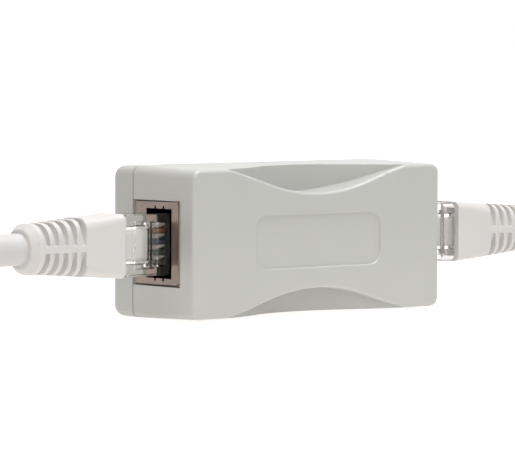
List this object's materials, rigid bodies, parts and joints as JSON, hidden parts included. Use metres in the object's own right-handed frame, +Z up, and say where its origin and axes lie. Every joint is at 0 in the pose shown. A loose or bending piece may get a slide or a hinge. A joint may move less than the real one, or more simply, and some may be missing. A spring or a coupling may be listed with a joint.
{
  "type": "network isolator",
  "caption": "In-line network isolator box with a shielded eight-way socket at each end and a booted patch lead latched into each socket.",
  "frame": {"origin": "under the middle of the box, on the surface that it lies on", "axes": "+X along the cables to the right, -Y is the front with the label recess, +Z up"},
  "size_m": [0.356, 0.0439, 0.029],
  "materials": {
    "white_housing": "satin moulded plastic",
    "zinc_screw": "zinc plated",
    "green_board": "solder mask",
    "black_transformer": "moulded epoxy",
    "chip_body": "ceramic chip",
    "capacitor_body": "ceramic chip",
    "nickel_shield": "nickel plated sheet",
    "black_insert": "moulded",
    "gold_contact": "gold flash",
    "clear_plug": "clear moulded",
    "wire_insulation": "solid and striped colours",
    "light_boot": "soft moulded",
    "cable_jacket": "soft extruded",
    "cable_tie": "moulded band"
  },
  "bodies": {
    "housing": {"front_shell": "white_housing", "rear_cover": "white_housing", "cover_screws": "zinc_screw", "circuit_board": "green_board", "isolation_transformer_1": "black_transformer", "isolation_transformer_2": "black_transformer", "isolation_transformer_3": "black_transformer", "isolation_transformer_4": "black_transformer", "termination_resistors": "chip_body", "termination_capacitors": "capacitor_body", "left_socket_shield": "nickel_shield", "left_socket_insert": "black_insert", "left_socket_contacts": "gold_contact", "right_socket_shield": "nickel_shield", "right_socket_insert": "black_insert", "right_socket_contacts": "gold_contact"},
    "left_lead": {"left_plug": "clear_plug", "left_plug_contacts": "gold_contact", "left_plug_wires": "wire_insulation", "left_boot": "light_boot", "left_cord": "cable_jacket", "left_hank": "cable_jacket", "left_hank_ties": "cable_tie", "left_far_plug": "clear_plug", "left_far_plug_contacts": "gold_contact", "left_far_plug_wires": "wire_insulation", "left_far_boot": "light_boot"},
    "left_latch": {"left_plug_latch": "clear_plug"},
    "left_far_latch": {"left_far_plug_latch": "clear_plug"},
    "right_lead": {"right_plug": "clear_plug", "right_plug_contacts": "gold_contact", "right_plug_wires": "wire_insulation", "right_boot": "light_boot", "right_cord": "cable_jacket", "right_hank": "cable_jacket", "right_hank_ties": "cable_tie", "right_far_plug": "clear_plug", "right_far_plug_contacts": "gold_contact", "right_far_plug_wires": "wire_insulation", "right_far_boot": "light_boot"},
    "right_latch": {"right_plug_latch": "clear_plug"},
    "right_far_latch": {"right_far_plug_latch": "clear_plug"}
  },
  "joints": [
    {"name": "left_plug_slide", "type": "slide", "parent": "housing", "child": "left_lead", "axis": [-1, 0, 0], "range_m": [0, 0.0099], "deforming": ["left_plug_latch"]},
    {"name": "left_latch_press", "type": "hinge", "parent": "left_lead", "child": "left_latch", "pos_m": [-0.02355, 0.0008, 0.01452], "axis": [0, 0, 1], "range_deg": [0, 10], "stiffness_Nm_per_rad": 0.05},
    {"name": "left_far_latch_press", "type": "hinge", "parent": "left_lead", "child": "left_far_latch", "pos_m": [-0.08884, 0.0134, 0.01405], "axis": [0, -1, 0], "range_deg": [0, 10], "stiffness_Nm_per_rad": 0.05},
    {"name": "right_plug_slide", "type": "slide", "parent": "housing", "child": "right_lead", "axis": [1, 0, 0], "range_m": [0, 0.0108], "deforming": ["right_plug_latch"]},
    {"name": "right_latch_press", "type": "hinge", "parent": "right_lead", "child": "right_latch", "pos_m": [0.02265, 0.0008, 0.01452], "axis": [0, 0, -1], "range_deg": [0, 10], "stiffness_Nm_per_rad": 0.05},
    {"name": "right_far_latch_press", "type": "hinge", "parent": "right_lead", "child": "right_far_latch", "pos_m": [0.08884, -0.0184, 0.01405], "axis": [0, 1, 0], "range_deg": [0, 10], "stiffness_Nm_per_rad": 0.05}
  ]
}
